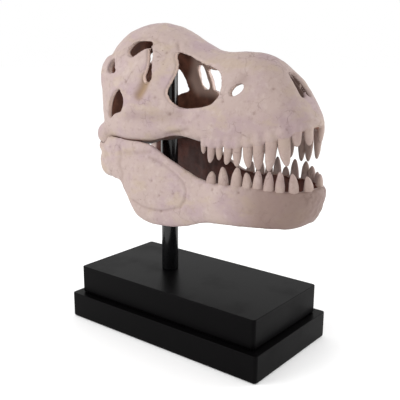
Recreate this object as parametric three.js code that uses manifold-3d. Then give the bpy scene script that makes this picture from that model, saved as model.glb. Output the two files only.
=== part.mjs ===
// Display casting of a Tyrannosaurus skull with its lower jaw, held by one black rod on a two tier base.
// Millimetres. X points the way the skull faces, Y to its left, Z up, origin under the middle of the base.
import * as THREE from "three";
import { mergeVertices } from "three/addons/utils/BufferGeometryUtils.js";
import Module from "manifold-3d";

const wasm = await Module();
wasm.setup();

// Gap kept between neighbouring pieces
const GAP = 0.3;
const HALF_GAP = GAP / 2;
// Reach of the blocks and prisms that cut right through
const FAR = 400;
// Corners closer than this are one corner
const MERGE_DISTANCE = 1e-4;

// Base tiers and rod
const LOWER_TIER = { length: 300, width: 160, height: 34, corner: 4, edge: 1.2 };
const UPPER_TIER = { length: 280, width: 140, height: 37, corner: 4, edge: 0.8 };
const ROD_RADIUS = 11;
const ROD_X = -42.5;
const ROD_SIDES = 28;
const SLAB_CORNER_STEPS = 3;
const SLAB_EDGE_STEPS = 1;

// Skull stations from the back to the tip of the snout:
// x, height of the roof, height of the widest line, height of the lower margin, half width
const SKULL_STATIONS = [
  [-117, 342.5, 305, 262, 39],
  [-113, 354.5, 302, 252, 47],
  [-105, 367, 296, 244, 55],
  [-94, 378.5, 290, 241, 60],
  [-78, 386, 285, 240.5, 63.5],
  [-55, 390, 282, 240.5, 65],
  [-35, 388, 281, 244, 63],
  [-20, 383.5, 280, 249.5, 59.5],
  [-2, 375, 279, 256, 54.5],
  [15, 367, 279, 256.5, 50],
  [34, 359.5, 280, 252.5, 47],
  [52, 357.5, 282, 253.5, 45.5],
  [75, 358.5, 284, 255.5, 44],
  [97, 357.5, 286, 258, 43],
  [114, 351.5, 287.5, 261, 42],
  [128, 342.5, 288.5, 265.5, 40.5],
  [140, 332, 289, 270, 37.5],
  [150, 320, 289, 274.5, 32.5],
  [159, 306.5, 288, 278.5, 25.5],
  [166, 297, 287, 280.5, 18],
  [170.5, 292, 286.5, 282.5, 9],
  [172, 289, 286.5, 284.5, 3],
];
const SKULL_ROUNDNESS = 2.15;
const MARGIN_SQUARENESS = 3.6;
const SKULL_STEPS = 28;
const SKULL_SIDES = 30;
// How much closer together the sections stand towards the two ends
const SECTION_CROWDING = 0.09;

// Hollow inside the skull
const WALL = 7.5;
const HOLLOW_BACK_X = -94;
const HOLLOW_FRONT_X = 99;
const CEILING_Z = 374;
const PALATE_TOP_Z = 267;
const PALATE_BACK_X = -20;
const THROAT_HALF_WIDTH = 40;
const HOLLOW_STEPS = 12;
const HOLLOW_SIDES = 24;
// Side faces of the roof and palate pieces
const ROOF_HALF_WIDTH = 34;
const MIDDLE_Z = 310;

// Openings in the side walls, outlines as x and z, with two straight steps from point to point
const OUTLINE_STEPS = 2;
const ELLIPSE_STEPS = 6;
const ORBIT_UPPER = [
  [-68, 357], [-65.5, 352.5], [-57, 349.8], [-49.5, 354.7], [-42, 359.8], [-36, 361.3], [-29, 362.5], [-31, 367.5],
  [-43, 368.3], [-57, 367.5], [-65.5, 363],
];
const ORBIT_LOWER = [
  [-36.5, 359.8], [-35, 354.7], [-32.8, 347], [-32, 339], [-35.2, 331], [-35.2, 324.5], [-31, 321], [-25.5, 324],
  [-24, 332], [-24.5, 342], [-25.7, 353.2], [-28.5, 361.5],
];
const ANTORBITAL = [
  [-3.5, 355.5], [8, 354.8], [21.5, 349.2], [33.3, 344.5], [46, 341.3], [57, 337.3], [64.5, 329.5], [66.3, 319],
  [63, 308.5], [53, 300], [38, 296], [22, 294], [10.5, 295.5], [0, 302], [-5, 311], [-1, 322.5], [3, 334],
  [2.5, 342],
];
const MAXILLARY = { x: 86.8, z: 318, long: 9.6, short: 4.8, tilt: 0.59 };
const TEMPORAL_UPPER = [[-88, 344.5], [-84, 336], [-80, 331.5], [-92, 331]];
const TEMPORAL_LOWER = [
  [-70, 312], [-63, 303.5], [-62, 295], [-65, 286], [-76, 282], [-88, 275], [-90, 280], [-88, 291], [-84.5, 300],
  [-78, 308],
];
// The left side's own outlines where they aren't those of the right side
const LEFT_ORBIT = [
  [-33, 337], [-26, 337.5], [-22.3, 333.3], [-19.5, 322], [-16.4, 311.9], [-20, 307], [-28, 307.5], [-33.2, 318],
  [-36, 331],
];
const LEFT_ANTORBITAL = [
  [-15.6, 331], [-10, 333.5], [2, 333], [12, 339], [22, 345], [33.3, 344.5], [46, 341.3], [57, 337.3], [64.5, 329.5],
  [66.3, 319], [63, 308.5], [53, 300], [38, 296], [22, 295], [9, 299.5], [-3, 306], [-9, 307.5], [-10.9, 318.3],
];
const LEFT_TEMPORAL = [
  [-69.4, 330.8], [-63, 320.5], [-59, 309.5], [-57.8, 302.5], [-71, 298.2], [-81, 294.5], [-85, 303], [-82, 317],
  [-76, 328],
];
const RIGHT_WINDOWS = [ORBIT_UPPER, ORBIT_LOWER, ANTORBITAL, TEMPORAL_UPPER, TEMPORAL_LOWER];
const LEFT_WINDOWS = [ORBIT_UPPER, LEFT_ORBIT, LEFT_ANTORBITAL, TEMPORAL_UPPER, LEFT_TEMPORAL];
const NOSTRIL = { x: 147, y: 11.5, z: 328, long: 17, wide: 6.5, deep: 5, slope: 0.86, roll: 0.7 };
// Pair of openings in the back wall: y, z and half sizes
const BACK_WINDOW = { y: 32, z: 345, wide: 12, high: 9, depth: 60 };

// Knobs at the back of the skull: x, y, z and the three radii
const QUADRATE_KNOB = { at: [-106, 47, 253], radii: [14.5, 12, 15] };
const SQUAMOSAL_KNOB = { at: [-98, 42.5, 321], radii: [17.5, 14, 31] };
const NECK_KNOB = { at: [-117, 0, 287], radii: [11, 12, 11] };
const NECK_HOLE = { at: [-120, 0, 306], radii: [9, 8, 8] };
// Shallow vault between the upper tooth rows
const PALATE_VAULT = { at: [75, 0, 252], radii: [88, 28, 11] };
const KNOB_SIDES = 12;
const KNOB_RINGS = 8;

// Lower jaw, each half from its back end to the chin:
// share of the way, height of the top edge, height of the bottom edge, half thickness
const JAW_PATH = [[-115.5, 47], [-88, 53], [-50, 56], [-10, 51], [40, 43], [90, 39.5], [128, 38]];
const JAW_ARCH = { x: 128, length: 45, width: 38 };
const JAW_STATIONS = [
  [0, 229, 211.5, 3.5],
  [0.018, 240, 204.5, 7.5],
  [0.05, 250, 199, 9],
  [0.1, 252, 198, 9],
  [0.14, 252, 195, 8.5],
  [0.165, 252, 182, 8],
  [0.19, 252, 169.5, 8],
  [0.218, 251, 157.5, 8],
  [0.253, 250, 151.5, 8],
  [0.285, 248, 149, 7.5],
  [0.31, 244.5, 148, 7.5],
  [0.34, 239, 148, 7],
  [0.4, 228.5, 149.5, 7],
  [0.46, 220, 153.5, 7],
  [0.505, 214, 158.5, 7],
  [0.55, 211, 161.5, 7],
  [0.61, 210.5, 163, 7],
  [0.68, 212, 164.5, 7],
  [0.76, 213, 167, 7.5],
  [0.83, 212.5, 169, 8],
  [0.92, 212.5, 168.5, 8.5],
  [1, 214.5, 170.5, 8.5],
];
const CHIN_LEAN = 0.32;
const CHIN_TOP_Z = 214;
const JAW_ROUNDNESS = 2.6;
const JAW_STEPS = 32;
const JAW_SIDES = 16;
const JOINT_GAP = 0.4;

// Teeth: distance back along the row from the midline, length showing, width at the gum and how far back
// along the row the tip stands
const UPPER_ROW = { arch: { x: 128, length: 39.5, width: 38.5 }, back: [20, 43] };
const RIGHT_UPPER_TEETH = [
  [14, 19.5, 11.5, -2], [28.5, 17.5, 12.5, -1.5], [41.5, 33, 12, -2.5], [55, 35, 12.5, 2], [70.5, 30, 12.5, 1],
  [84.2, 26.5, 12.2, -0.8], [98, 25, 11.3, 0], [109.5, 23.2, 11, 3], [122, 18, 9, 0.5], [133, 21.5, 10, 2], [144, 11, 7, 0.5],
];
const LEFT_UPPER_TEETH = [
  [14, 19.5, 11.5, -2], [33, 33, 11.5, 0.5], [50.5, 35, 11.5, 0], [62, 32, 10.5, 1], [75.5, 28, 9.5, 0],
  [84, 26, 12, 0], [100, 25, 11.3, 0], [111, 22.5, 10.5, 1], [122, 18, 9, 0.5], [133, 20, 10, 1], [144, 11, 7, 0.5],
];
// Teeth of each side that grow from the snout, the rest grow from the cheek
const SNOUT_TEETH = 6;
const GUM_DEPTH = 1.5;
// Length of one half of the lower jaw along its path
const JAW_LENGTH = 310;
const LOWER_ROW = { arch: { x: 128, length: 42, width: 38 }, back: [20, 42.5] };
const RIGHT_LOWER_TEETH = [
  [12.5, 17.5, 12.5, 3.5], [30.5, 22, 11.5, 2], [45.5, 24, 11, 0], [58.5, 22.5, 12.5, -0.5], [72.5, 22, 12, -0.5],
  [86, 17.5, 12.5, 1], [100.5, 23, 14, -1.5], [118, 22, 13.5, 1.5], [135, 15, 13, -1],
];
const LEFT_LOWER_TEETH = [
  [12.5, 15, 12, 3], [30.5, 15.5, 11.5, 1], [44.5, 17, 10.5, 0], [55, 23.5, 11, 0], [70.3, 23.5, 11.5, 0],
  [82.5, 13, 10.5, 0], [95, 24, 11.5, 0], [107, 19, 11, 0], [120, 21, 12.5, 1], [135, 15, 12, -1],
];
const TOOTH_ROOT = 6;
const TOOTH_FLATNESS = 0.72;
// Share of its width that a tooth loses on the way, and how squarely its tip is rounded off
const UPPER_NARROWING = 0.33;
const LOWER_NARROWING = 0.45;
const TOOTH_BLUNTNESS = 4;
const TOOTH_END = 0.95;
// Rings of a tooth stand closer together towards its tip
const TOOTH_RING_CROWDING = 1.6;
const TOOTH_SIDES = 6;
const TOOTH_RINGS = 4;

const BONE = { color: 0xc6b2a4, roughness: 0.72, metalness: 0 };
const BLACK_WOOD = { color: 0x121113, roughness: 0.4, metalness: 0 };
const BLACK_METAL = { color: 0x0d0d0f, roughness: 0.18, metalness: 0.6 };

// Solid of a closed geometry, its faces turned outwards
function solid(geometry) {
  const made = rawSolid(geometry);
  return made.volume() < 0 ? rawSolid(flipped(geometry)) : made;
}

function rawSolid(geometry) {
  const bare = geometry.index ? geometry.toNonIndexed() : geometry.clone();
  bare.deleteAttribute("normal");
  bare.deleteAttribute("uv");
  const merged = mergeVertices(bare, MERGE_DISTANCE);
  return new wasm.Manifold(
    new wasm.Mesh({
      numProp: 3,
      vertProperties: new Float32Array(merged.attributes.position.array),
      triVerts: new Uint32Array(merged.index.array),
    }),
  );
}

// Geometry of the largest closed surface of a solid
function geometryOf(manifold) {
  const bodies = manifold.decompose();
  bodies.sort((a, b) => b.volume() - a.volume());
  const mesh = bodies[0].getMesh();
  const geometry = new THREE.BufferGeometry();
  geometry.setAttribute("position", new THREE.BufferAttribute(new Float32Array(mesh.vertProperties), 3));
  geometry.setIndex(new THREE.BufferAttribute(new Uint32Array(mesh.triVerts), 1));
  return geometry;
}

// The same geometry on the other side of the middle plane
function mirrored(geometry) {
  const other = geometry.toNonIndexed();
  const position = other.attributes.position;
  for (let i = 0; i < position.count; i += 3) {
    const corners = [0, 2, 1].map((k) => new THREE.Vector3().fromBufferAttribute(position, i + k));
    corners.forEach((p, k) => position.setXYZ(i + k, p.x, -p.y, p.z));
  }
  return other;
}

// Smooth value at x of a table whose rows start with x
function tableAt(rows, x) {
  const last = rows.length - 1;
  const clamped = Math.min(Math.max(x, rows[0][0]), rows[last][0]);
  const i = Math.min(Math.max(rows.findIndex((row) => row[0] >= clamped) - 1, 0), last - 1);
  const slope = (k, column) => {
    const before = rows[Math.max(k - 1, 0)];
    const after = rows[Math.min(k + 1, last)];
    return (after[column] - before[column]) / (after[0] - before[0]);
  };
  const span = rows[i + 1][0] - rows[i][0];
  const t = (clamped - rows[i][0]) / span;
  return rows[i].slice(1).map((value, k) => {
    const next = rows[i + 1][k + 1];
    const rise = next - value;
    const a = slope(i, k + 1) * span - rise;
    const b = rise - slope(i + 1, k + 1) * span;
    return value + rise * t + t * (1 - t) * (a * (1 - t) + b * t);
  });
}

// Closed body of rounded sections: place(t, angle, radius) gives the point of section t
function loft(steps, sides, place) {
  const geometry = new THREE.CylinderGeometry(1, 1, 1, sides, steps);
  const position = geometry.attributes.position;
  for (let i = 0; i < position.count; i += 1) {
    const p = new THREE.Vector3().fromBufferAttribute(position, i);
    const radius = Math.hypot(p.x, p.z);
    const moved = place(0.5 - p.y, Math.atan2(p.z, p.x), radius < 0.5 ? 0 : 1);
    position.setXYZ(i, moved.x, moved.y, moved.z);
  }
  return geometry;
}

const power = (value, exponent) => Math.sign(value) * Math.abs(value) ** exponent;

// Skull section at x, drawn in by an inset for the hollow
function skullPoint(x, angle, radius, inset) {
  const [roof, wide, margin, half] = tableAt(SKULL_STATIONS, x);
  const across = Math.cos(angle);
  const upward = Math.sin(angle);
  const roundness = 2 / (upward > 0 ? SKULL_ROUNDNESS : MARGIN_SQUARENESS);
  const reach = upward > 0 ? roof - wide - inset : wide - margin - inset;
  const y = (half - inset) * power(across, roundness) * radius;
  return new THREE.Vector3(x, y, wide + reach * power(upward, roundness) * radius);
}

// Stations closer together towards the two ends
function stationX(t, back, front) {
  const eased = t - Math.sin(2 * Math.PI * t) * SECTION_CROWDING;
  return back + (front - back) * eased;
}

function ellipsoid({ at, radii }, side = 1) {
  const ball = new THREE.SphereGeometry(1, KNOB_SIDES, KNOB_RINGS);
  ball.rotateX(Math.PI / 2);
  ball.scale(...radii);
  ball.translate(at[0], at[1] * side, at[2]);
  return solid(ball);
}

// Block between two corners
function block(from, to) {
  const size = to.map((value, i) => value - from[i]);
  const box = new THREE.BoxGeometry(...size);
  box.translate(...from.map((value, i) => value + size[i] / 2));
  return solid(box);
}

// Straight cut through one side wall with a smooth outline in x and z
function window(points, side) {
  const curve = new THREE.CatmullRomCurve3(points.map(([x, z]) => new THREE.Vector3(x, z, 0)), true);
  const outline = curve.getPoints(OUTLINE_STEPS * points.length).slice(0, -1);
  return through(new THREE.Shape(outline.map((p) => new THREE.Vector2(p.x, p.y))), side);
}

function through(outline, side) {
  const prism = new THREE.ExtrudeGeometry(outline, { depth: FAR, bevelEnabled: false, curveSegments: ELLIPSE_STEPS });
  prism.translate(0, 0, side > 0 ? -FAR : 0);
  prism.rotateX(Math.PI / 2);
  return solid(prism);
}

function maxillaryWindow({ x, z, long, short, tilt }, side) {
  return through(new THREE.Shape().absellipse(x, z, long, short, 0, 2 * Math.PI, false, tilt), side);
}

// Shallow long pocket in the side of the nose
function nostril({ x, y, z, long, wide, deep, slope, roll }, side) {
  const pocket = new THREE.SphereGeometry(1, KNOB_SIDES, KNOB_RINGS);
  pocket.rotateZ(Math.PI / 2);
  pocket.scale(long, wide, deep);
  pocket.rotateX(side * roll);
  pocket.rotateY(slope);
  pocket.translate(x, side * y, z);
  return solid(pocket);
}

// Plan curve of a tooth row, from the midline at the front to its back end
function rowCurve({ arch, back }) {
  const path = new THREE.CurvePath();
  path.add(new THREE.EllipseCurve(arch.x, 0, arch.length, arch.width, 0, Math.PI / 2));
  path.add(new THREE.LineCurve(new THREE.Vector2(arch.x, arch.width), new THREE.Vector2(...back)));
  return path;
}

// One blunt, slightly curved tooth; direction is -1 for a tooth that hangs down and 1 for one that stands
function tooth({ x, y, z, heading, length, width, sweep, direction }) {
  const whole = length + TOOTH_ROOT;
  const flat = width * TOOTH_FLATNESS;
  const narrowing = direction < 0 ? UPPER_NARROWING : LOWER_NARROWING;
  const body = loft(TOOTH_RINGS, TOOTH_SIDES, (t, angle, radius) => {
    const height = (1 - (1 - t) ** TOOTH_RING_CROWDING) * whole - TOOTH_ROOT;
    const share = Math.max(height / length, 0);
    const rounding = Math.sqrt(1 - (TOOTH_END * share) ** TOOTH_BLUNTNESS);
    const taper = (1 - narrowing * share) * rounding * radius;
    const along = (Math.cos(angle) * width * taper) / 2 + sweep * share ** 2;
    const across = (Math.sin(angle) * flat * taper) / 2;
    return new THREE.Vector3(
      x + Math.cos(heading) * along - Math.sin(heading) * across,
      y + Math.sin(heading) * along + Math.cos(heading) * across,
      z + direction * height,
    );
  });
  return solid(body);
}

// The same surface with its faces turned round
function flipped(geometry) {
  const other = geometry.index ? geometry.toNonIndexed() : geometry.clone();
  const position = other.attributes.position;
  for (let i = 0; i < position.count; i += 3) {
    const a = new THREE.Vector3().fromBufferAttribute(position, i + 1);
    const b = new THREE.Vector3().fromBufferAttribute(position, i + 2);
    position.setXYZ(i + 1, b.x, b.y, b.z);
    position.setXYZ(i + 2, a.x, a.y, a.z);
  }
  return other;
}

// All teeth of one side of a jaw
function teeth(row, list, side, gumHeight, direction) {
  const curve = rowCurve(row);
  const whole = curve.getLength();
  return list.map(([distance, length, width, sweep]) => {
    const p = curve.getPointAt(distance / whole);
    const tangent = curve.getTangentAt(distance / whole);
    const heading = Math.atan2(side * tangent.y, tangent.x);
    const z = gumHeight(p.x, distance);
    return tooth({ x: p.x, y: side * p.y, z, heading, length, width, sweep, direction });
  });
}

// Outside of the skull with the knobs at its back, solid all through
function skullOutside() {
  const back = SKULL_STATIONS[0][0];
  const front = SKULL_STATIONS.at(-1)[0];
  let body = solid(loft(SKULL_STEPS, SKULL_SIDES, (t, angle, radius) =>
    skullPoint(stationX(t, back, front), angle, radius, 0)));
  for (const side of [-1, 1]) {
    body = body.add(ellipsoid(QUADRATE_KNOB, side)).add(ellipsoid(SQUAMOSAL_KNOB, side));
  }
  return body;
}

// Whole skull with its hollow, neck knob and openings, before it is parted
function skull() {
  let body = skullOutside().add(ellipsoid(NECK_KNOB)).subtract(ellipsoid(NECK_HOLE));
  const cuts = [hollow(), throat(), ellipsoid(PALATE_VAULT)];
  for (const side of [-1, 1]) {
    const outlines = side < 0 ? RIGHT_WINDOWS : LEFT_WINDOWS;
    cuts.push(...outlines.map((points) => window(points, side)), maxillaryWindow(MAXILLARY, side));
    cuts.push(backWindow(BACK_WINDOW, side), nostril(NOSTRIL, side));
  }
  for (const cut of cuts) {
    body = body.subtract(cut);
  }
  return body;
}

function backWindow({ y, z, wide, high, depth }, side) {
  const hole = new THREE.CylinderGeometry(1, 1, depth, KNOB_SIDES);
  hole.rotateZ(Math.PI / 2);
  hole.scale(1, wide, high);
  hole.translate(HOLLOW_BACK_X + WALL / 2 - depth / 2, side * y, z);
  return solid(hole);
}

function hollow() {
  const inner = solid(loft(HOLLOW_STEPS, HOLLOW_SIDES, (t, angle, radius) =>
    skullPoint(HOLLOW_BACK_X + (HOLLOW_FRONT_X - HOLLOW_BACK_X) * t, angle, radius, WALL)));
  return inner.intersect(block([-FAR, -FAR, PALATE_TOP_Z], [FAR, FAR, CEILING_Z]));
}

// Open way down behind the palate, where the rod comes up
function throat() {
  return block([HOLLOW_BACK_X, -THROAT_HALF_WIDTH, 0], [PALATE_BACK_X, THROAT_HALF_WIDTH, PALATE_TOP_Z + GAP]);
}

// Half of the lower jaw on the right side
function jawHalf() {
  const path = new THREE.CurvePath();
  const side = JAW_PATH.map(([x, y]) => new THREE.Vector2(x, -y));
  path.add(new THREE.SplineCurve(side));
  path.add(new THREE.EllipseCurve(JAW_ARCH.x, 0, JAW_ARCH.length, JAW_ARCH.width, -Math.PI / 2, 0));
  return solid(loft(JAW_STEPS, JAW_SIDES, (t, angle, radius) => {
    const p = path.getPointAt(t);
    const tangent = path.getTangentAt(t);
    const [top, bottom, thick] = tableAt(JAW_STATIONS, t);
    const out = power(Math.cos(angle), 2 / JAW_ROUNDNESS) * thick * radius;
    const z = (top + bottom) / 2 + (power(Math.sin(angle), 2 / JAW_ROUNDNESS) * (top - bottom) * radius) / 2;
    const lean = CHIN_LEAN * Math.max(0, (p.x - JAW_ARCH.x) / JAW_ARCH.length) * (z - CHIN_TOP_Z);
    return new THREE.Vector3(p.x + tangent.y * out + lean, p.y - tangent.x * out, z);
  }));
}

// Flat slab with rounded corners and small bevels
function slab({ length, width, height, corner, edge }, bottom) {
  const [x, y] = [length / 2 - edge, width / 2 - edge];
  const outline = new THREE.Shape();
  outline.absarc(x - corner, y - corner, corner, 0, Math.PI / 2);
  outline.absarc(corner - x, y - corner, corner, Math.PI / 2, Math.PI);
  outline.absarc(corner - x, corner - y, corner, Math.PI, 1.5 * Math.PI);
  outline.absarc(x - corner, corner - y, corner, 1.5 * Math.PI, 2 * Math.PI);
  const geometry = new THREE.ExtrudeGeometry(outline, {
    depth: height - 2 * edge,
    bevelThickness: edge,
    bevelSize: edge,
    bevelSegments: SLAB_EDGE_STEPS,
    curveSegments: SLAB_CORNER_STEPS,
  });
  geometry.translate(0, 0, bottom + edge);
  return geometry;
}

const part = new THREE.Group();

function addNode(name, geometry, finish) {
  const mesh = new THREE.Mesh(geometry, new THREE.MeshStandardMaterial(finish));
  geometry.computeVertexNormals();
  mesh.name = name;
  part.add(mesh);
}

// Gum heights: the tooth rows start on the edges of the two jaws
const upperGum = (x) => tableAt(SKULL_STATIONS, x)[2] + GUM_DEPTH;
const lowerGum = (x, distance) => tableAt(JAW_STATIONS, 1 - distance / JAW_LENGTH)[0] - GUM_DEPTH;

const whole = skull();
// Where the cheeks end and where the roof and palate begin on the two sides of the parting gap
const wall = ROOF_HALF_WIDTH + HALF_GAP;
const inside = ROOF_HALF_WIDTH - HALF_GAP;
const skullBack = whole.intersect(block([-FAR, -FAR, 0], [HOLLOW_BACK_X - HALF_GAP, FAR, FAR]));
const skullMiddle = whole.intersect(block([HOLLOW_BACK_X + HALF_GAP, -FAR, 0], [HOLLOW_FRONT_X - HALF_GAP, FAR, FAR]));
const roof = skullMiddle.intersect(block([-FAR, -inside, MIDDLE_Z], [FAR, inside, FAR]));
const palate = skullMiddle.intersect(block([-FAR, -inside, 0], [FAR, inside, MIDDLE_Z]));
const snout = whole.intersect(block([HOLLOW_FRONT_X + HALF_GAP, -FAR, 0], [FAR, FAR, FAR]));
const cheekRight = skullMiddle.intersect(block([-FAR, -FAR, 0], [FAR, -wall, FAR]));
const cheekLeft = skullMiddle.intersect(block([-FAR, wall, 0], [FAR, FAR, FAR]));
const seat = solid(geometryOf(skullOutside()).translate(0, 0, -JOINT_GAP));
const jaw = jawHalf().subtract(seat).intersect(block([-FAR, -FAR, 0], [FAR, -HALF_GAP, FAR]));

const upperRight = teeth(UPPER_ROW, RIGHT_UPPER_TEETH, -1, upperGum, -1);
const upperLeft = teeth(UPPER_ROW, LEFT_UPPER_TEETH, 1, upperGum, -1);
const lowerRight = teeth(LOWER_ROW, RIGHT_LOWER_TEETH, -1, lowerGum, 1);
const lowerLeft = teeth(LOWER_ROW, LEFT_LOWER_TEETH, 1, lowerGum, 1);
const toothed = (bone, list) => geometryOf(list.reduce((body, each) => body.add(each), bone));

addNode("snout", toothed(snout, [...upperRight.slice(0, SNOUT_TEETH), ...upperLeft.slice(0, SNOUT_TEETH)]), BONE);
addNode("cheek_right", toothed(cheekRight, upperRight.slice(SNOUT_TEETH)), BONE);
addNode("cheek_left", toothed(cheekLeft, upperLeft.slice(SNOUT_TEETH)), BONE);
addNode("skull_roof", geometryOf(roof), BONE);
addNode("palate", geometryOf(palate), BONE);
addNode("skull_back", geometryOf(skullBack), BONE);
addNode("jaw_right", toothed(jaw, lowerRight), BONE);
addNode("jaw_left", toothed(solid(mirrored(geometryOf(jaw))), lowerLeft), BONE);

const baseTop = LOWER_TIER.height + UPPER_TIER.height;
const rodHeight = CEILING_Z - baseTop - 2 * GAP;
const rod = new THREE.CylinderGeometry(ROD_RADIUS, ROD_RADIUS, rodHeight, ROD_SIDES);
rod.rotateX(Math.PI / 2);
rod.translate(ROD_X, 0, baseTop + GAP + rodHeight / 2);
addNode("stand_rod", rod, BLACK_METAL);
addNode("stand_base_lower", slab({ ...LOWER_TIER, height: LOWER_TIER.height - GAP }, 0), BLACK_WOOD);
addNode("stand_base_upper", slab(UPPER_TIER, LOWER_TIER.height), BLACK_WOOD);

export default part;
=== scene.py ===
"""Display casting of a dinosaur skull on a stepped black stand: fine surfaces, finishes, lights and camera.

Tables and sizes of the casting are in millimetres, and MM turns them into the scene's metres. X points the
way the skull faces, Y to its left and Z up, and the origin lies under the middle of the stand.
"""

import logging
import math
import random
from collections.abc import Callable, Sequence
from dataclasses import dataclass, field
from enum import Enum

import bmesh
import bpy
import numpy as np
from mathutils import Matrix, Vector, noise


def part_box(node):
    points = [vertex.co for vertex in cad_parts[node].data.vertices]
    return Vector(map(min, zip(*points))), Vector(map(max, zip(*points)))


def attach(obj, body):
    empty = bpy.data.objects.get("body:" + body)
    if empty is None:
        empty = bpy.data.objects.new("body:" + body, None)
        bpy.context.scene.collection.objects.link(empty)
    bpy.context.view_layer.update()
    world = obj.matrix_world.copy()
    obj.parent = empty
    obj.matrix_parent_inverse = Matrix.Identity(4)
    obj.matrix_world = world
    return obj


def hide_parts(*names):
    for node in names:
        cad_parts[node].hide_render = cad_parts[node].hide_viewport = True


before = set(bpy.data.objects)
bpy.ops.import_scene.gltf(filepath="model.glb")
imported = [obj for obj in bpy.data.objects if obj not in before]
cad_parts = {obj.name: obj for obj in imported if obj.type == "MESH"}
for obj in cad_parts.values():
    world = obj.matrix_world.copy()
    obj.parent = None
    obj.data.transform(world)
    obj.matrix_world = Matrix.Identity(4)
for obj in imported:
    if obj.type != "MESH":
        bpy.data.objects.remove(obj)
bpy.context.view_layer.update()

Array = np.ndarray
Piece = bpy.types.Object
Mesh = bpy.types.Mesh
Socket = bpy.types.NodeSocket
Pair = tuple[float, float]
Triple = tuple[float, float, float]

MM = 0.001
FAR = 400.0
BODY = "root"
# Faces of the stand larger than this, in square metres, are flat
FLAT_FACE = 0.001
# Two heights closer than this, in metres, are the same
LEVEL = 1e-6
# Depth of a pit and how much brown gathers in it
PIT_DEPTH = 0.9
PIT_STAIN = 0.7
log = logging.getLogger("skull_casting")


class Side(Enum):
    """The two sides of the casting, as the sign of Y."""

    RIGHT = -1
    LEFT = 1


class Hang(Enum):
    """Which way the teeth of a row point, as the sign of Z."""

    DOWN = -1
    UP = 1


def smooth_step(value: Array, start: float, end: float) -> Array:
    """Eases from 0 to 1 between two values.

    Args:
        value: Numbers to ease.
        start: Where the result leaves 0.
        end: Where the result reaches 1.

    Returns:
        The eased numbers.
    """
    share = np.clip((value - start) / (end - start), 0, 1)
    return share * share * (3 - 2 * share)


def signed_power(value: Array, exponent: float | Array) -> Array:
    """Raises the size of each number to an exponent and keeps its sign."""
    return np.sign(value) * np.abs(value) ** exponent


@dataclass(frozen=True)
class Stations:
    """Rows of sizes along a body, joined by smooth curves.

    Attributes:
        rows: Each row's place along the body, then its sizes.
    """

    rows: tuple[tuple[float, ...], ...]

    def at(self, place: Array) -> list[Array]:
        """Reads the smooth sizes at the given places.

        Args:
            place: Places along the body.

        Returns:
            One array for each column of sizes.
        """
        table = np.array(self.rows, float)
        knots, sizes = table[:, 0], table[:, 1:]
        clamped = np.clip(place, knots[0], knots[-1])
        i = np.clip(np.searchsorted(knots, clamped) - 1, 0, len(knots) - 2)
        before = np.maximum(np.arange(len(knots)) - 1, 0)
        after = np.minimum(np.arange(len(knots)) + 1, len(knots) - 1)
        slopes = (sizes[after] - sizes[before]) / (knots[after] - knots[before])[:, None]
        span = (knots[i + 1] - knots[i])[:, None]
        t = (clamped - knots[i])[:, None] / span
        rise = sizes[i + 1] - sizes[i]
        leaving = slopes[i] * span - rise
        arriving = rise - slopes[i + 1] * span
        values = sizes[i] + rise * t + t * (1 - t) * (leaving * (1 - t) + arriving * t)
        return list(values.T)

    def sizes(self, place: float) -> list[float]:
        """Reads the sizes at one place."""
        return [float(column[0]) for column in self.at(np.array([place]))]


@dataclass(frozen=True)
class Stroke:
    """A ridge, or a groove where the height is below zero, along a line on the surface.

    Attributes:
        points: The line, on the right side of the casting.
        width: Distance from the line at which it has nearly faded.
        height: How far it stands out.
    """

    points: tuple[Triple, ...]
    width: float
    height: float

    def heights(self, where: Array) -> Array:
        """Height of the stroke at each point.

        Args:
            where: Points, folded to the right side.

        Returns:
            How far each point moves outwards.
        """
        line = np.array(self.points, float)
        nearest = np.full(len(where), 1e9)
        starts = line[:-1] if len(line) > 1 else line
        ends = line[1:] if len(line) > 1 else line
        for start, end in zip(starts, ends):
            along = end - start
            share = np.clip((where - start) @ along / max(along @ along, 1e-9), 0, 1)
            nearest = np.minimum(nearest, np.linalg.norm(where - start - share[:, None] * along, axis=1))
        return self.height * np.exp(-2 * (nearest / self.width) ** 2)


def coordinates(mesh: Mesh) -> Array:
    """Reads a mesh's corners as millimetres."""
    values = np.empty(len(mesh.vertices) * 3)
    mesh.vertices.foreach_get("co", values)
    return values.reshape(-1, 3) / MM


def move_to(mesh: Mesh, where: Array) -> None:
    """Puts a mesh's corners at places given in millimetres."""
    mesh.vertices.foreach_set("co", (where * MM).ravel())
    mesh.update()


def normals(mesh: Mesh) -> Array:
    """Reads the direction in which the surface faces at each corner."""
    values = np.empty(len(mesh.vertices) * 3)
    mesh.vertices.foreach_get("normal", values)
    return values.reshape(-1, 3)


def paint(mesh: Mesh, name: str, values: Array) -> None:
    """Stores one number for each corner, for the finish to read."""
    layer = mesh.attributes.new(name, "FLOAT", "POINT")
    layer.data.foreach_set("value", np.clip(values, 0, 1))


def as_object(shape: bmesh.types.BMesh, name: str) -> Piece:
    """Turns a shape into an object of the scene.

    Args:
        shape: The shape, which is freed.
        name: Name of the new piece.

    Returns:
        The new object, at the origin.
    """
    bmesh.ops.recalc_face_normals(shape, faces=shape.faces)
    mesh = bpy.data.meshes.new(name)
    shape.to_mesh(mesh)
    shape.free()
    piece = bpy.data.objects.new(name, mesh)
    bpy.context.scene.collection.objects.link(piece)
    return piece


def remove(piece: Piece) -> None:
    """Takes a helper object and its mesh out of the scene."""
    mesh = piece.data
    bpy.data.objects.remove(piece)
    bpy.data.meshes.remove(mesh)


def settle(piece: Piece) -> None:
    """Makes what the piece's modifiers do part of its mesh."""
    graph = bpy.context.evaluated_depsgraph_get()
    made = bpy.data.meshes.new_from_object(piece.evaluated_get(graph))
    old = piece.data
    piece.modifiers.clear()
    piece.data = made
    made.name = piece.name
    bpy.data.meshes.remove(old)


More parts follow.
